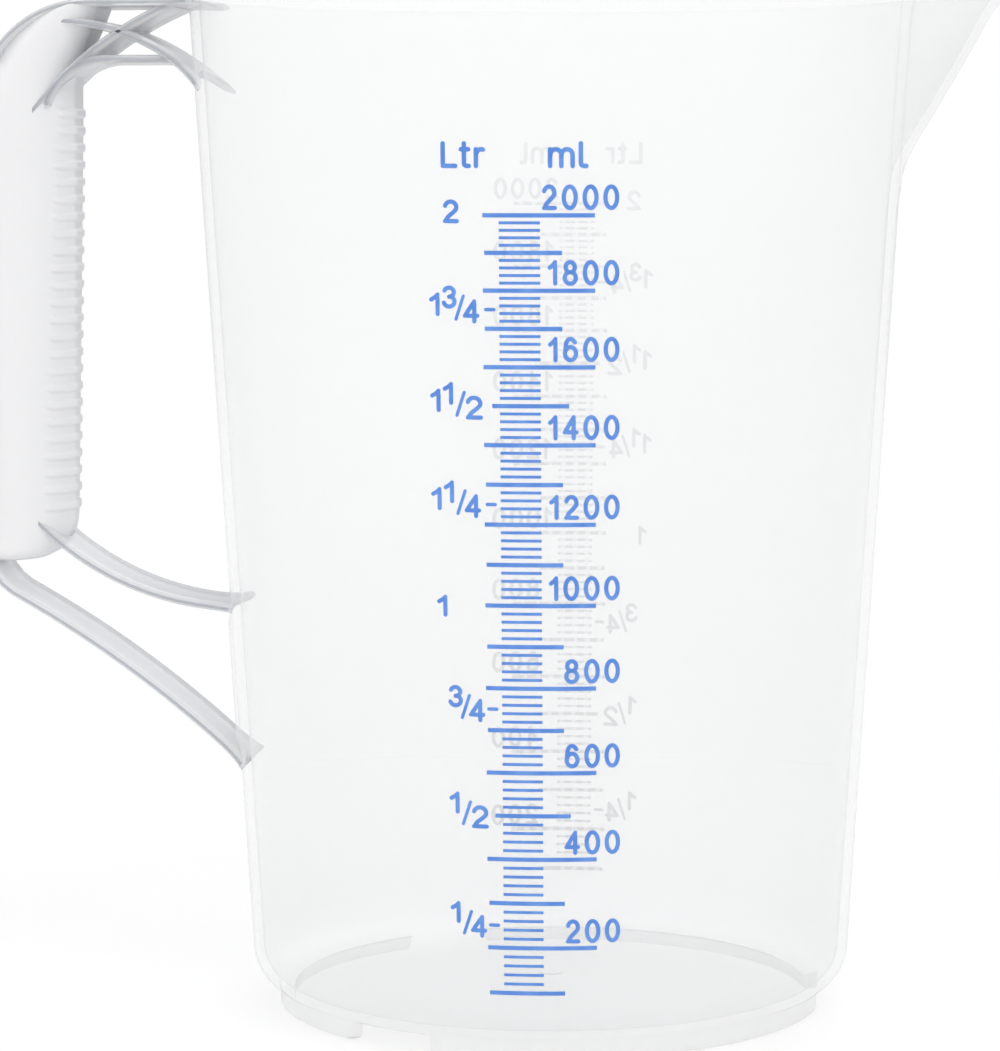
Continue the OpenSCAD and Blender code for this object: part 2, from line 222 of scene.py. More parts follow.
def make_mesh(name, verts, faces, smooth_shade=True):
    mesh = bpy.data.meshes.new(name)
    mesh.from_pydata([((x + AXIS_X) / 1000, y / 1000, z / 1000) for x, y, z in verts], [], faces)
    mesh.validate()
    bm = bmesh.new()
    bm.from_mesh(mesh)
    bmesh.ops.recalc_face_normals(bm, faces=bm.faces)
    bm.to_mesh(mesh)
    bm.free()
    for p in mesh.polygons:
        p.use_smooth = smooth_shade
    obj = bpy.data.objects.new(name, mesh)
    bpy.context.scene.collection.objects.link(obj)
    return obj


def lathe(name, angles, profile_of):
    """Closed skin from a section at each angle; each section runs from pole to pole."""
    verts, faces = [], []
    rows = 0
    for a in angles:
        prof = profile_of(a)
        rows = len(prof)
        verts += [(r * math.cos(a), r * math.sin(a), z) for r, z in prof]
    n = len(angles)
    first = len(verts)
    p0, p1 = profile_of(angles[0])[0], profile_of(angles[0])[-1]
    verts += [(0, 0, p0[1]), (0, 0, p1[1])]
    for j in range(n):
        k = (j + 1) % n
        for i in range(rows - 1):
            faces.append((j * rows + i, k * rows + i, k * rows + i + 1, j * rows + i + 1))
        faces.append((first, k * rows, j * rows))
        faces.append((first + 1, j * rows + rows - 1, k * rows + rows - 1))
    return make_mesh(name, verts, faces)


# ------------------------------------------------------------------ handle
def arc_points(centre, radius, a0, a1, step=1.5):
    n = max(2, int(abs(a1 - a0) / step))
    return [(centre[0] + radius * math.cos(math.radians(lerp(a0, a1, i / n))),
             centre[1] + radius * math.sin(math.radians(lerp(a0, a1, i / n))))
            for i in range(n + 1)]


class Path:
    """A curve in the handle's plane, as [distance from the axis, height], by its length."""

    def __init__(self, pts):
        self.pts = pts
        self.s = [0.0]
        for a, b in zip(pts, pts[1:]):
            self.s.append(self.s[-1] + math.hypot(b[0] - a[0], b[1] - a[1]))
        self.length = self.s[-1]

    def at(self, s):
        i = 0
        while i < len(self.s) - 2 and self.s[i + 1] < s:
            i += 1
        span = self.s[i + 1] - self.s[i]
        t = (s - self.s[i]) / span
        a, b = self.pts[i], self.pts[i + 1]
        p = (lerp(a[0], b[0], t), lerp(a[1], b[1], t))
        d = ((b[0] - a[0]) / span, (b[1] - a[1]) / span)
        # blend the direction towards the neighbouring segments
        if t < 0.5 and i > 0:
            c = self.pts[i - 1]
            l = math.hypot(a[0] - c[0], a[1] - c[1])
            e = ((a[0] - c[0]) / l, (a[1] - c[1]) / l)
            w = 0.5 - t
            d = (lerp(d[0], e[0], w), lerp(d[1], e[1], w))
        elif t > 0.5 and i < len(self.pts) - 2:
            c = self.pts[i + 2]
            l = math.hypot(c[0] - b[0], c[1] - b[1])
            e = ((c[0] - b[0]) / l, (c[1] - b[1]) / l)
            w = t - 0.5
            d = (lerp(d[0], e[0], w), lerp(d[1], e[1], w))
        l = math.hypot(*d)
        return p, (d[0] / l, d[1] / l)


def plate(name, pts, half, thick, fillet=0.0, wall_z=100.0, wall_end=True, edge_r=0.55,
          stations=44):
    """A curved plate across the handle. Its first end lies on the vessel's wall, and its sides
    run into the wall with a fillet that touches both."""
    path = Path(pts)
    h = thick / 2
    across = [-1 + 2 * i / 16 for i in range(17)]
    ring = [(a, 1.0) for a in across] + [(a, -1.0) for a in reversed(across)]
    arc_y = half + fillet
    arc_u = math.sqrt((r_out(wall_z) + fillet) ** 2 - arc_y ** 2)
    root_half = arc_y * r_out(wall_z) / (r_out(wall_z) + fillet)

    def half_at(u):
        """Half depth of the plate at a distance from the axis."""
        if not fillet or u >= arc_u:
            return half
        return min(root_half, arc_y - math.sqrt(max(0.0, fillet ** 2 - (arc_u - u) ** 2)))

    def start_of(y):
        """Length along the path at which the plate meets the wall, at a distance across it."""
        if not wall_end:
            return 0.0
        lo, hi = 0.0, path.length
        for _ in range(40):
            mid = (lo + hi) / 2
            (u, z), _direction = path.at(mid)
            inside = math.hypot(u, y) < r_out(z) - 0.15
            lo, hi = (mid, hi) if inside else (lo, mid)
        return hi

    verts, faces = [], []
    starts = {a: start_of(a * (root_half if fillet else half)) for a in across}
    n = len(ring)
    for i in range(stations + 1):
        sigma = (i / stations) ** 1.8
        for a, side in ring:
            s = lerp(starts[a], path.length, sigma)
            (u, z), (du, dz) = path.at(s)
            d_half = half_at(u)
            edge = d_half * (1 - abs(a))
            round_in = edge_r - math.sqrt(max(0.0, edge_r ** 2 - max(edge_r - edge, 0) ** 2)) \
                if edge < edge_r else 0.0
            off = (h - min(round_in, h * 0.75)) * side
            verts.append((-(u - dz * off), a * d_half, z + du * off))
    for i in range(stations):
        for k in range(n):
            m = (k + 1) % n
            faces.append((i * n + k, i * n + m, (i + 1) * n + m, (i + 1) * n + k))
    faces.append(tuple(range(n)))
    faces.append(tuple(stations * n + k for k in reversed(range(n))))
    return make_mesh(name, verts, faces)


# centres are [distance from the axis, height]
FALLING_C, FALLING_R = (99.1, 158.6), 41.5
RISING_C, RISING_R = (48.7, 138.1), 70.5
UPPER_C, UPPER_R = (63.3, 139.5), 58.1
LOWER_C, LOWER_R = (223.3, -119.9), 233.4
CORNER_C, CORNER_R = (92.5, 181.0), 23.5
REACH = 116.0                # palm side of the grip, from the axis
RIB_T, FLANGE_T = 1.7, 1.6
RIB_HALF, ARCH_HALF, STRUT_HALF = 12.0, 11.8, 9.25   # half depths across the handle
ELBOW_R = 10.6
ELBOW_U = REACH - RIB_T / 2 - ELBOW_R
ELBOW_A = math.acos((ELBOW_U - LOWER_C[0]) / (LOWER_R + ELBOW_R))
ELBOW_C = (ELBOW_U, LOWER_C[1] + (LOWER_R + ELBOW_R) * math.sin(ELBOW_A))
ARCH_TOP = 193.3
ARCH_R = 11.2
ARCH_C = (89.2, ARCH_TOP - RIB_T - ARCH_R)


GRIP_LOW_Z, GRIP_HIGH_Z = 93.0, 181.0
GRIP_FOOT_R, GRIP_FOOT_Z, GRIP_FOOT_U = 9.0, 99.5, 107.3
GRIP_BOTTOM, GRIP_TOP = 90.5, TOP - 0.05
GRIP_DEPTH = (19.0, 24.4)    # across the handle, at the low and the high level
GRIP_EDGE_R = 9.0


def grip_inner(z):
    """Finger side of the grip: its distance from the axis at a height."""
    if z > GRIP_HIGH_Z:
        return 96.6 - 5.6 * smooth(186, 205, z)
    base = lerp(98.3, 96.6, (z - GRIP_LOW_Z) / (GRIP_HIGH_Z - GRIP_LOW_Z))
    if z < GRIP_FOOT_Z:
        drop = GRIP_FOOT_R ** 2 - (GRIP_FOOT_Z - z) ** 2
        base = max(base, GRIP_FOOT_U - math.sqrt(max(drop, 0)))
    return base


def grip_outer(z):
    """Palm side of the grip: its distance from the axis at a height."""
    if z > CORNER_C[1]:
        return CORNER_C[0] + math.sqrt(max(CORNER_R ** 2 - (z - CORNER_C[1]) ** 2, 0))
    if z < ELBOW_C[1]:
        r = ELBOW_R + RIB_T / 2
        return ELBOW_C[0] + math.sqrt(max(r * r - (z - ELBOW_C[1]) ** 2, 0))
    return REACH


RIDGES, RIDGE_TOP, RIDGE_PITCH, RIDGE_H, RIDGE_PROUD = 24, 181.7, 3.48, 1.7, 0.45


def ridge_height(u_rel, z):
    """How far the grip's skin is raised by the ridge nearest to a height."""
    i = round((RIDGE_TOP - z) / RIDGE_PITCH)
    if i < 0 or i >= RIDGES:
        return 0.0
    dz = abs(z - (RIDGE_TOP - i * RIDGE_PITCH)) / (RIDGE_H / 2)
    if dz >= 1.15:
        return 0.0
    end = lerp(2.6, 5.2, i / (RIDGES - 1))
    bullet = end - 0.8 * (1 - math.sqrt(max(0.0, 1 - min(dz, 1) ** 2)))
    reach = 1 - smooth(bullet - 0.25, bullet + 0.1, u_rel)
    return RIDGE_PROUD * reach * (1 - smooth(0.7, 1.15, dz))


def grip_section(z):
    """One section of the grip from the middle of its finger side round, and its corner radius."""
    inner, outer = grip_inner(z), grip_outer(z)
    depth = lerp(*GRIP_DEPTH, clamp((z - GRIP_LOW_Z) / (GRIP_HIGH_Z - GRIP_LOW_Z)))
    low = clamp((z - GRIP_BOTTOM) / 2.5)
    depth -= 5.0 * (1 - math.sqrt(1 - (1 - low) ** 2))
    high = clamp((GRIP_TOP - z) / 2.0)
    depth -= 3.0 * (1 - math.sqrt(1 - (1 - high) ** 2))
    half = depth / 2
    corner = min(GRIP_EDGE_R, (outer - inner) / 2 - 0.05, half - 0.05)
    flat = half - corner
    near, far = 22, 14           # steps round the finger side's corner and the palm side's
    pts = [(inner, -flat * k / 4) for k in range(4)]
    for k in range(near):
        a = math.pi / 2 * k / near
        pts.append((inner + corner * (1 - math.cos(a)), -(flat + corner * math.sin(a))))
    pts += [(lerp(inner + corner, outer - corner, k / 5), -half) for k in range(5)]
    for k in range(far):
        a = math.pi / 2 * k / far
        pts.append((outer - corner * (1 - math.sin(a)), -(flat + corner * math.cos(a))))
    pts += [(outer, -flat * (1 - k / 4)) for k in range(4)]
    return pts + [(outer, 0.0)] + [(u, -y) for u, y in reversed(pts[1:])], corner


def grip_heights():
    """Heights of the grip's sections, close together at the ridges and at both ends."""
    heights = []
    z = GRIP_BOTTOM
    while z < GRIP_TOP:
        heights.append(z)
        ridged = RIDGE_TOP - RIDGES * RIDGE_PITCH < z < RIDGE_TOP + 1.2
        z += 0.29 if ridged else 0.35 if (z < 94 or z > 199) else 1.2
    return heights + [GRIP_TOP]


def grip_mesh():
    verts, faces = [], []
    heights = grip_heights()
    for z in heights:
        section, corner = grip_section(z)
        for u, y in section:
            rel = u - section[0][0]
            up = ridge_height(rel, z)
            nx, ny = 0.0, 0.0
            if up and rel < corner:
                a = math.acos(clamp(1 - rel / corner, -1, 1))
                nx = -math.cos(a)
                ny = math.copysign(math.sin(a), y) if abs(y) > 1e-6 else 0.0
            verts.append((-(u + nx * up), y + ny * up, z))
    n = len(section)
    for i in range(len(heights) - 1):
        for k in range(n):
            m = (k + 1) % n
            faces.append((i * n + k, i * n + m, (i + 1) * n + m, (i + 1) * n + k))
    faces.append(tuple(range(n)))
    last = (len(heights) - 1) * n
    faces.append(tuple(last + k for k in reversed(range(n))))
    return make_mesh("grip", verts, faces)


# ------------------------------------------------------------------ printed lettering
def ellipse(cx, cy, rx, ry, a0, a1, n=20):
    return [(cx + rx * math.cos(math.radians(lerp(a0, a1, i / n))),
             cy + ry * math.sin(math.radians(lerp(a0, a1, i / n)))) for i in range(n + 1)]


# Strokes on a field one unit tall; the number is the field's width
GLYPHS = {
    "0": (0.62, [ellipse(0.31, 0.5, 0.31, 0.5, 0, 360, 32)]),
    "1": (0.30, [[(0.0, 0.74), (0.14, 0.84), (0.28, 1.0), (0.28, 0.0)]]),
    "2": (0.58, [ellipse(0.29, 0.71, 0.27, 0.29, 165, -25, 18)
                 + [(0.42, 0.46), (0.18, 0.24), (0.02, 0.0), (0.58, 0.0)]]),
    "3": (0.56, [ellipse(0.27, 0.76, 0.25, 0.24, 160, -90, 16)
                 + ellipse(0.27, 0.27, 0.28, 0.27, 80, -165, 18)]),
    "4": (0.62, [[(0.47, 0.0), (0.47, 1.0), (0.0, 0.28), (0.62, 0.28)]]),
    "6": (0.60, [[(0.53, 0.84)] + ellipse(0.30, 0.66, 0.25, 0.34, 60, 180, 12)
                 + ellipse(0.30, 0.31, 0.29, 0.31, 165, 525, 28)]),
    "8": (0.60, [ellipse(0.30, 0.76, 0.24, 0.24, 0, 360, 26),
                 ellipse(0.30, 0.26, 0.29, 0.27, 0, 360, 28)]),
    "/": (0.52, [[(0.04, -0.08), (0.50, 1.02)]]),
    "L": (0.62, [[(0.04, 1.0), (0.04, 0.0), (0.62, 0.0)]]),
    "t": (0.36, [[(0.14, 1.0), (0.14, 0.14)] + ellipse(0.26, 0.12, 0.12, 0.12, 180, 270, 6)
                 + [(0.36, 0.0)], [(0.0, 0.74), (0.34, 0.74)]]),
    "r": (0.42, [[(0.06, 0.0), (0.06, 0.74)],
                 [(0.06, 0.52)] + ellipse(0.30, 0.46, 0.24, 0.28, 170, 70, 8)]),
    "m": (0.98, [[(0.04, 0.0), (0.04, 0.74)],
                 [(0.04, 0.46)] + ellipse(0.27, 0.50, 0.22, 0.24, 170, 0, 12) + [(0.49, 0.0)],
                 [(0.49, 0.46)] + ellipse(0.72, 0.50, 0.22, 0.24, 170, 0, 12) + [(0.94, 0.0)]]),
    "l": (0.30, [[(0.06, 1.0), (0.06, 0.16)] + ellipse(0.18, 0.14, 0.12, 0.14, 180, 270, 6)
                 + [(0.28, 0.0)]]),
}
GAP = 0.20                   # between letters, as a share of their height
INK_T = 0.1                  # ink's height above the wall
DENSE = 0.45                 # longest straight piece of a stroke
# distances along the wall from its front line, to the right
NUMERALS_RIGHT, DIGIT_RISE, DIGIT_H = 18.05, 1.35, 3.93
UNITS_Z, UNITS_H, UNITS_STROKE = 171.5, 4.1, 0.85
STROKE, SLASH_STROKE, DASH_STROKE = 0.8, 0.6, 0.66
WHOLE_LEFT, FRACTION_LEFT, AFTER_WHOLE = -16.9, -13.9, 1.15
DASH = (-6.4, -4.9)
# volume, whole number, numerator, denominator
FRACTIONS = ((1750, "1", "3", "4"), (1500, "1", "1", "2"), (1250, "1", "1", "4"),
             (750, "", "3", "4"), (500, "", "1", "2"), (250, "", "1", "4"))


def dense_points(points):
    """The same line with no piece longer than DENSE, so that it follows the curved wall."""
    dense = []
    for a, b in zip(points, points[1:]):
        n = max(1, int(math.hypot(b[0] - a[0], b[1] - a[1]) / DENSE))
        dense += [(lerp(a[0], b[0], i / n), lerp(a[1], b[1], i / n)) for i in range(n)]
    dense.append(points[-1])
    return dense


class Print:
    """Collects ink on the wall: flat cells laid on the cone, a little proud of it."""

    def __init__(self, turn):
        self.turn = turn
        self.verts = []
        self.faces = []

    def wall(self, s, z, lift):
        """Point at a distance along the wall and a height, raised off the wall by lift."""
        r = r_out(z)
        a = self.turn + s / r
        r += lift
        return (r * math.cos(a), r * math.sin(a), z)

    def disc(self, s, z, radius, lift):
        """Round dot, for stroke ends and corners."""
        n = 12
        base = len(self.verts)
        for h in (0.0, lift):
            for i in range(n):
                a = 2 * math.pi * i / n
                self.verts.append(self.wall(s + radius * math.cos(a), z + radius * math.sin(a), h))
        self.faces.append(tuple(base + i for i in reversed(range(n))))
        self.faces.append(tuple(base + n + i for i in range(n)))
        for i in range(n):
            m = (i + 1) % n
            self.faces.append((base + i, base + m, base + n + m, base + n + i))

    def stroke(self, points, width, lift=INK_T):
        """One line of even width along the points, with round ends and corners."""
        pts = dense_points(points)
        closed = math.hypot(pts[0][0] - pts[-1][0], pts[0][1] - pts[-1][1]) < 1e-6
        if closed:
            pts = pts[:-1]
        n = len(pts)
        h = width / 2
        base = len(self.verts)
        for i in range(n):
            a = pts[(i - 1) % n] if closed or i else pts[i]
            b = pts[(i + 1) % n] if closed or i < n - 1 else pts[i]
            dx, dz = b[0] - a[0], b[1] - a[1]
            l = math.hypot(dx, dz) or 1.0
            nx, nz = -dz / l * h, dx / l * h
            s, z = pts[i]
            for side, up in ((1, 0.0), (-1, 0.0), (-1, lift), (1, lift)):
                self.verts.append(self.wall(s + nx * side, z + nz * side, up))
        last = n if closed else n - 1
        for i in range(last):
            p, q = base + 4 * i, base + 4 * ((i + 1) % n)
            for k in range(4):
                m = (k + 1) % 4
                self.faces.append((p + k, p + m, q + m, q + k))
        if not closed:
            self.faces.append((base, base + 1, base + 2, base + 3))
            e = base + 4 * (n - 1)
            self.faces.append((e + 3, e + 2, e + 1, e))
            self.disc(pts[0][0], pts[0][1], h, lift * 0.96)
            self.disc(pts[-1][0], pts[-1][1], h, lift * 0.96)
        # round the sharp corners of the stroke
        for i in range(1, len(points) - 1):
            (x0, z0), (x1, z1), (x2, z2) = points[i - 1], points[i], points[i + 1]
            turn = math.atan2(z2 - z1, x2 - x1) - math.atan2(z1 - z0, x1 - x0)
            turn = abs(math.atan2(math.sin(turn), math.cos(turn)))
            if turn > 0.5:
                self.disc(x1, z1, h, lift * 0.97)

    def text(self, text, s, z, height, width, align="left", squeeze=1.0, gap=GAP):
        """Write a word from its left or right end and return where it stops."""
        widths = [GLYPHS[c][0] * height * squeeze for c in text]
        total = sum(widths) + gap * height * (len(text) - 1)
        x = s if align == "left" else s - total
        for c, w in zip(text, widths):
            for stroke in GLYPHS[c][1]:
                self.stroke([(x + px * height * squeeze, z + pz * height) for px, pz in stroke],
                            width)
            x += w + gap * height
        return x - gap * height


def level_z(ml):
    """Height of the surface of a volume of liquid, in millilitres, in the tapered vessel."""
    heel_area = (1 - math.pi / 4) * HEEL_IN ** 2
    loss = heel_area * 2 * math.pi * (FLOOR_R - 0.223 * HEEL_IN)
    cube = FLOOR_R ** 3 + 3 * TAPER * (ml * 1000 + loss) / math.pi
    return FLOOR_Z + (cube ** (1 / 3) - FLOOR_R) / TAPER


def fraction(ink, left, z, over, under):
    """Raised numerator, slash and lowered denominator about the height z of their line."""
    air = 0.9 if over == "1" else 0.1
    x = ink.text(over, left, z + 0.5, 3.5, STROKE, "left", 1.25 if over == "1" else 1.07) + air
    x = ink.text("/", x, z - 1.5, 3.9, SLASH_STROKE, "left", 0.8)
    x += 0.5 if under == "2" else 0.2
    ink.text(under, x, z - 2.2, 3.7, STROKE, "left", 1.2 if under == "2" else 1.04)


def lettering(name, turn):
    ink = Print(turn)
    for ml in range(200, 2001, 200):
        ink.text(str(ml), NUMERALS_RIGHT, level_z(ml) + DIGIT_RISE, DIGIT_H, STROKE, "right", 0.9,
                 gap=0.42)
    ink.text("Ltr", -14.5, UNITS_Z, UNITS_H, UNITS_STROKE, gap=0.27)
    ink.text("ml", 5.5, UNITS_Z, UNITS_H, UNITS_STROKE, "left", 1.12, gap=0.26)
    ink.text("2", -14.1, level_z(2000) - 1.1, 3.6, STROKE, "left", 1.13)
    ink.text("1", -15.95, level_z(1000) - 2.0, 3.4, STROKE, "left", 1.3)
    for ml, whole, over, under in FRACTIONS:
        z = level_z(ml)
        left = FRACTION_LEFT
        if whole:
            left = ink.text(whole, WHOLE_LEFT, z - 0.9, 3.6, STROKE, "left", 1.25) + AFTER_WHOLE
        fraction(ink, left, z, over, under)
        if ml % 500:
            ink.stroke([(DASH[0], z), (DASH[1], z)], DASH_STROKE)
    return make_mesh(name, ink.verts, ink.faces, smooth_shade=False)


# ------------------------------------------------------------------ materials
def new_material(name):
    mat = bpy.data.materials.new(name)
    mat.use_nodes = True
    nodes, links = mat.node_tree.nodes, mat.node_tree.links
    return mat, nodes, links, nodes["Principled BSDF"]


def ramp(nodes, stops):
    node = nodes.new("ShaderNodeValToRGB")
    node.color_ramp.interpolation = "EASE"
    elements = node.color_ramp.elements
    while len(elements) > 1:
        elements.remove(elements[0])
    elements[0].position, elements[0].color = stops[0][0], (*stops[0][1], 1)
    for pos, col in stops[1:]:
        e = elements.new(pos)
        e.color = (*col, 1)
    return node


def noise(nodes, links, coords, scale, detail):
    """Noise fixed to the object."""
    node = nodes.new("ShaderNodeTexNoise")
    node.inputs["Scale"].default_value = scale
    node.inputs["Detail"].default_value = detail
    links.new(coords.outputs["Object"], node.inputs["Vector"])
    return node.outputs["Fac"]


def plastic(name, tones, alphas, rough, bump, mottling=0.02):
    """Translucent polypropylene: see-through face on, denser at grazing angles. Its colour follows
    the tones by facing, and the greyer tones towards grazing angles are painted shade.
    """
    mat, nodes, links, bsdf = new_material(name)
    coords = nodes.new("ShaderNodeTexCoord")
    facing = nodes.new("ShaderNodeLayerWeight")
    facing.inputs["Blend"].default_value = 0.5
    # colour by facing: the material's own tone face on, with painted shade towards grazing angles
    # (on the grip also a painted lighter rim)
    tone_and_painted_edge_shading = ramp(nodes, tones)
    alpha = ramp(nodes, [(p, (a, a, a)) for p, a in alphas])
    links.new(facing.outputs["Facing"], tone_and_painted_edge_shading.inputs["Fac"])
    links.new(facing.outputs["Facing"], alpha.inputs["Fac"])
    # broad cloudiness of the resin
    mix = nodes.new("ShaderNodeMix")
    mix.data_type = "RGBA"
    mix.blend_type = "MULTIPLY"
    mix.inputs["Factor"].default_value = 1.0
    shade = ramp(nodes, [(0.3, (1 - mottling,) * 3), (0.7, (1, 1, 1))])
    links.new(noise(nodes, links, coords, 9.0, 3.0), shade.inputs["Fac"])
    links.new(tone_and_painted_edge_shading.outputs["Color"], mix.inputs["A"])
    links.new(shade.outputs["Color"], mix.inputs["B"])
    links.new(mix.outputs["Result"], bsdf.inputs["Base Color"])
    links.new(alpha.outputs["Color"], bsdf.inputs["Alpha"])
    # fine grain of the mould
    grain = nodes.new("ShaderNodeBump")
    grain.inputs["Strength"].default_value = bump
    grain.inputs["Distance"].default_value = 0.0002
    links.new(noise(nodes, links, coords, 420.0, 2.0), grain.inputs["Height"])
    links.new(grain.outputs["Normal"], bsdf.inputs["Normal"])
    bsdf.inputs["Roughness"].default_value = rough
    bsdf.inputs["IOR"].default_value = 1.49
    bsdf.inputs["Specular IOR Level"].default_value = 0.5
    return mat


def faces_axis(nodes, links):
    """1 on faces that look towards the vessel's axis, 0 on the rest."""
    geometry = nodes.new("ShaderNodeNewGeometry")
    from_axis = nodes.new("ShaderNodeVectorMath")
    from_axis.operation = "SUBTRACT"
    from_axis.inputs[1].default_value = (AXIS_X / 1000, 0.0, 0.0)
    level = nodes.new("ShaderNodeVectorMath")
    level.operation = "MULTIPLY"
    level.inputs[1].default_value = (1.0, 1.0, 0.0)
    outward = nodes.new("ShaderNodeVectorMath")
    outward.operation = "DOT_PRODUCT"
    inside = nodes.new("ShaderNodeMath")
    inside.operation = "LESS_THAN"
    inside.inputs[1].default_value = -0.01
    links.new(geometry.outputs["Position"], from_axis.inputs[0])
    links.new(from_axis.outputs["Vector"], level.inputs[0])
    links.new(level.outputs["Vector"], outward.inputs[0])
    links.new(geometry.outputs["Normal"], outward.inputs[1])
    links.new(outward.outputs["Value"], inside.inputs[0])
    return inside.outputs["Value"]


def ink_material():
    """Slightly uneven blue ink, pale on the side that lies on the wall."""
    mat, nodes, links, bsdf = new_material("printed_ink")
    coords = nodes.new("ShaderNodeTexCoord")
    tone = ramp(nodes, [(0.35, (0.085, 0.235, 0.68)), (0.7, (0.13, 0.30, 0.74))])
    links.new(noise(nodes, links, coords, 260.0, 3.0), tone.inputs["Fac"])
    side = nodes.new("ShaderNodeMix")
    side.data_type = "RGBA"
    side.inputs["B"].default_value = (0.92, 0.925, 0.935, 1.0)
    links.new(faces_axis(nodes, links), side.inputs["Factor"])
    links.new(tone.outputs["Color"], side.inputs["A"])
    links.new(side.outputs["Result"], bsdf.inputs["Base Color"])
    bsdf.inputs["Roughness"].default_value = 0.45
    return mat


# each material: tones and alphas by how far the surface turns away, then roughness and grain; the
# greyer tones towards grazing angles are painted shade
PALE = (0.94, 0.945, 0.95)
RIB_FACE = (0.84, 0.85, 0.87)
# painted shade: the skin turns grey towards grazing angles, in place of the dark band that
# refraction gives along the silhouettes
SKIN = plastic("pp_outer_skin",
               [(0.0, PALE), (0.85, PALE), (0.98, (0.74, 0.75, 0.78))],
               [(0.0, 0.24), (0.8, 0.26), (1.0, 0.6)], 0.22, 0.15)
# painted shade: the plates' faces turn grey towards grazing angles, as on the skin
RIB = plastic("pp_rib",
              [(0.0, RIB_FACE), (0.6, RIB_FACE), (0.95, (0.55, 0.57, 0.60))],
              [(0.0, 0.42), (0.6, 0.5), (0.95, 0.85)], 0.25, 0.15)
# painted shade: a darker, denser copy of the plates' plastic for their edge faces that look along Y
RIB_EDGE_PAINTED_SHADE = plastic("pp_rib_edge_painted_shade",
                   [(0.0, (0.44, 0.46, 0.50)), (1.0, (0.36, 0.38, 0.42))],
                   [(0.0, 0.86), (1.0, 0.95)], 0.25, 0.15)
# painted shade and painted light: the grip's colour darkens towards its edges and turns lighter
# again in a thin rim at the very edge, as the shading of a round bar
GRIP = plastic("pp_grip",
               [(0.0, (0.87, 0.87, 0.88)), (0.55, (0.85, 0.85, 0.86)),
                (0.85, (0.66, 0.67, 0.69)), (0.97, (0.72, 0.73, 0.75))],
               [(0.0, 0.93), (1.0, 0.97)], 0.34, 0.3)
INK = ink_material()
PLATE = (RIB, RIB_EDGE_PAINTED_SHADE)


def split_edges(obj):
    """Second material, a darker copy painted as shade, on the edge faces of a plate, which look
    along Y.
    """
    for p in obj.data.polygons:
        p.material_index = 1 if abs(p.normal.y) > 0.6 else 0


def dress(obj, materials, slot, *nodes):
    """Give a piece its materials and body, and hide the CAD nodes that it stands for; the slot
    argument is not used.
    """
    for material in materials:
        obj.data.materials.append(material)
    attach(obj, "root")
    if nodes:
        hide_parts(*nodes)


def dress_plate(name, pts, half, thick, nodes, **shape):
    obj = plate(name, pts, half, thick, **shape)
    dress(obj, PLATE, "rib", *nodes)
    split_edges(obj)


# ------------------------------------------------------------------ build
vessel = lathe("vessel", columns(), vessel_profile)
dress(vessel, (SKIN,), "shell", "body_wall", "base_heel", "floor_plate", "rim_lip", "spout",
      "foot_segment_front", "foot_segment_rear", "foot_segment_handle", "strut_pad")

flange_z = TOP - FLANGE_T / 2
dress_plate("top_flange",
            [(u, flange_z) for u in (60.0, 70.0, 80.0, 88.0)]
            + arc_points(CORNER_C, CORNER_R - FLANGE_T / 2, 90, 30),
            RIB_HALF, FLANGE_T, ["handle_flange"], fillet=14.0, wall_z=203.7)
dress_plate("rib_falling", arc_points(FALLING_C, FALLING_R, 152, 92), RIB_HALF, RIB_T,
            ["cross_rib_falling"], fillet=14.0, wall_z=187.0)
dress_plate("rib_rising", arc_points(RISING_C, RISING_R, 68, 38), RIB_HALF, RIB_T,
            ["cross_rib_rising"], wall_end=False)
arch_z = ARCH_TOP - RIB_T / 2
dress_plate("finger_arch",
            [(u, arch_z) for u in (75.4, 80.0, 85.0)]
            + arc_points(ARCH_C, ARCH_R + RIB_T / 2, 90, 14, 3),
            ARCH_HALF, RIB_T, ["handle_arch"], wall_end=False)
dress(grip_mesh(), (GRIP,), "grip", "grip_column", "grip_ridges")
dress_plate("strut_upper", arc_points(UPPER_C, UPPER_R, 262, 316), STRUT_HALF, RIB_T,
            ["upper_strut"], fillet=7.0, wall_z=81.0)
elbow_deg = math.degrees(ELBOW_A)
dress_plate("strut_lower",
            arc_points(LOWER_C, LOWER_R, elbow_deg + 20, elbow_deg, 0.5)
            + arc_points(ELBOW_C, ELBOW_R, elbow_deg + 180, 345, 3)[1:],
            STRUT_HALF, RIB_T, ["lower_strut", "strut_elbow"], fillet=5.0, wall_z=50.0)

for name, turn in (("lettering_front", -math.pi / 2), ("lettering_rear", math.pi / 2)):
    dress(lettering(name, turn), (INK,), "ink")
for name in ("scale_front", "scale_rear"):
    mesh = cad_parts[name].data
    mesh.materials.clear()
    mesh.materials.append(INK)


# ------------------------------------------------------------------ stage, light, camera
def studio_world():
    """White to the camera, a little dimmer as light."""
    world = bpy.data.worlds.new("studio")
    bpy.context.scene.world = world
    world.use_nodes = True
    nodes, links = world.node_tree.nodes, world.node_tree.links
    ambient = nodes["Background"]
    ambient.inputs["Color"].default_value = (1, 1, 1, 1)
    ambient.inputs["Strength"].default_value = 0.72
    white = nodes.new("ShaderNodeBackground")
    white.inputs["Color"].default_value = (1, 1, 1, 1)
    white.inputs["Strength"].default_value = 1.0
    path = nodes.new("ShaderNodeLightPath")
    mix = nodes.new("ShaderNodeMixShader")
    links.new(path.outputs["Is Camera Ray"], mix.inputs["Fac"])
    links.new(ambient.outputs["Background"], mix.inputs[1])
    links.new(white.outputs["Background"], mix.inputs[2])
    links.new(mix.outputs["Shader"], nodes["World Output"].inputs["Surface"])


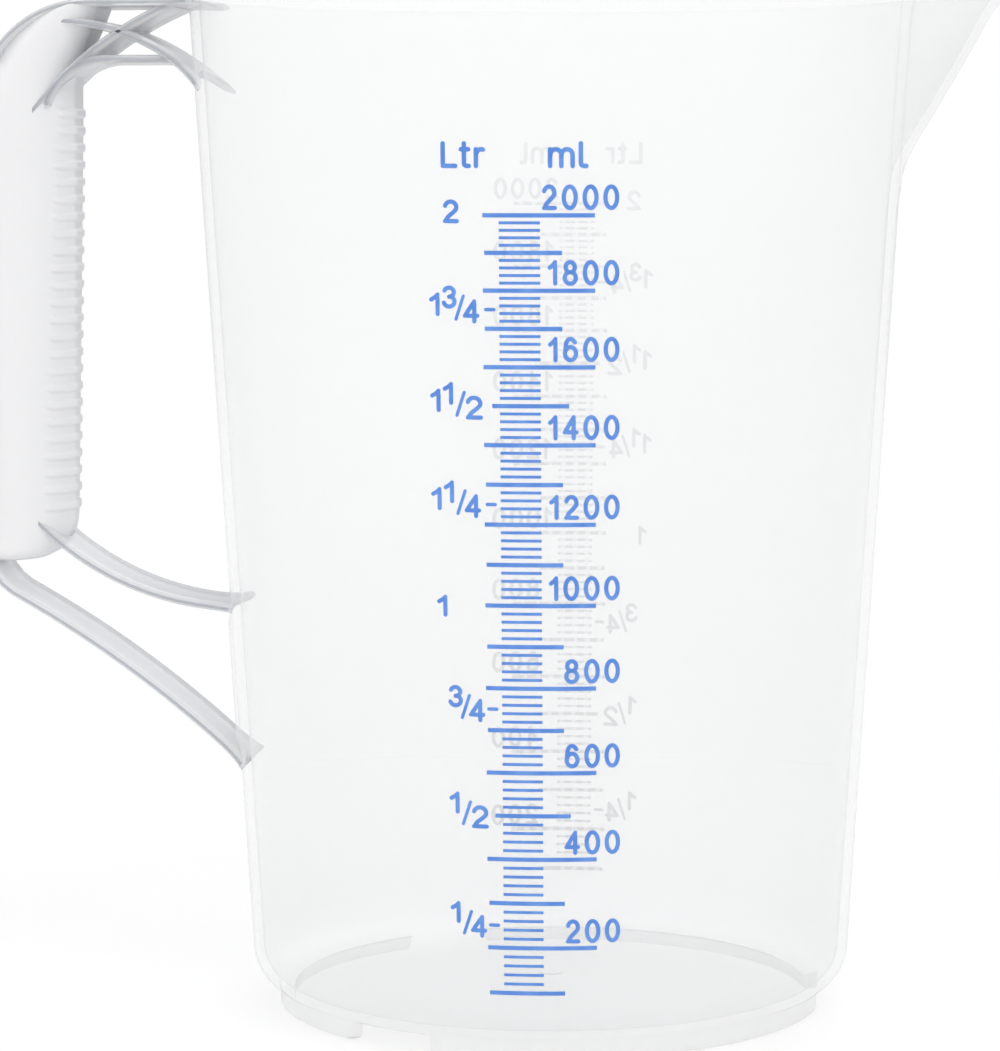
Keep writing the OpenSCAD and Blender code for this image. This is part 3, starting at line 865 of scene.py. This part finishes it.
def floor_material():
    """Pale floor that keeps a soft shadow near the object and is plain white further out."""
    mat, nodes, links, bsdf = new_material("floor_white")
    bsdf.inputs["Base Color"].default_value = (0.98, 0.98, 0.98, 1)
    bsdf.inputs["Roughness"].default_value = 0.8
    coords = nodes.new("ShaderNodeTexCoord")
    distance = nodes.new("ShaderNodeVectorMath")
    distance.operation = "LENGTH"
    share = nodes.new("ShaderNodeMapRange")
    share.interpolation_type = "SMOOTHSTEP"
    share.inputs["From Min"].default_value = 0.12
    share.inputs["From Max"].default_value = 0.30
    share.inputs["To Min"].default_value = 0.6
    path = nodes.new("ShaderNodeLightPath")
    seen = nodes.new("ShaderNodeMath")
    seen.operation = "MULTIPLY"
    glow = nodes.new("ShaderNodeEmission")
    glow.inputs["Strength"].default_value = 1.0
    mix = nodes.new("ShaderNodeMixShader")
    links.new(coords.outputs["Object"], distance.inputs[0])
    links.new(distance.outputs["Value"], share.inputs["Value"])
    links.new(share.outputs["Result"], seen.inputs[0])
    links.new(path.outputs["Is Camera Ray"], seen.inputs[1])
    links.new(seen.outputs["Value"], mix.inputs["Fac"])
    links.new(bsdf.outputs["BSDF"], mix.inputs[1])
    links.new(glow.outputs["Emission"], mix.inputs[2])
    links.new(mix.outputs["Shader"], nodes["Material Output"].inputs["Surface"])
    return mat


def stage_floor(radius=6.0, drop=0.0002):
    mesh = bpy.data.meshes.new("floor")
    bm = bmesh.new()
    bmesh.ops.create_circle(bm, cap_ends=True, segments=96, radius=radius)
    bm.to_mesh(mesh)
    bm.free()
    floor = bpy.data.objects.new("floor", mesh)
    bpy.context.scene.collection.objects.link(floor)
    floor.location.z = -drop
    mesh.materials.append(floor_material())


def area(name, place, target, size, power):
    """Round lamp that points at a place."""
    data = bpy.data.lights.new(name, "AREA")
    data.shape = "DISK"
    data.size = size
    data.energy = power
    obj = bpy.data.objects.new(name, data)
    obj.location = place
    obj.rotation_euler = (Vector(target) - Vector(place)).to_track_quat("-Z", "Y").to_euler()
    bpy.context.scene.collection.objects.link(obj)


def set_camera(place, heading, pitch, lens, shift):
    """Camera at a place, looking along a level heading and down by pitch degrees."""
    data = bpy.data.cameras.new("camera")
    camera = bpy.data.objects.new("camera", data)
    bpy.context.scene.collection.objects.link(camera)
    camera.location = place
    down = math.radians(pitch)
    aim = Vector((heading[0] * math.cos(down), heading[1] * math.cos(down), -math.sin(down)))
    camera.rotation_euler = aim.to_track_quat("-Z", "Y").to_euler()
    data.lens = lens
    data.sensor_width = 36.0
    data.shift_x, data.shift_y = shift
    data.clip_start = 0.01
    bpy.context.scene.camera = camera


studio_world()
stage_floor()
centre = (0.0, 0.0, 0.1)
area("key", (0.5, -1.0, 1.5), centre, 1.2, 9.0)
area("fill", (-1.2, -0.5, 0.9), centre, 1.2, 4.0)
area("back", (0.3, 1.4, 1.1), centre, 1.4, 6.0)
set_camera((0.07447, -0.74849, 0.17533), (-0.0819, 0.9966), 6.88, 126.21, (-0.04805, 0.0609))
bpy.context.scene.view_settings.view_transform = "Standard"
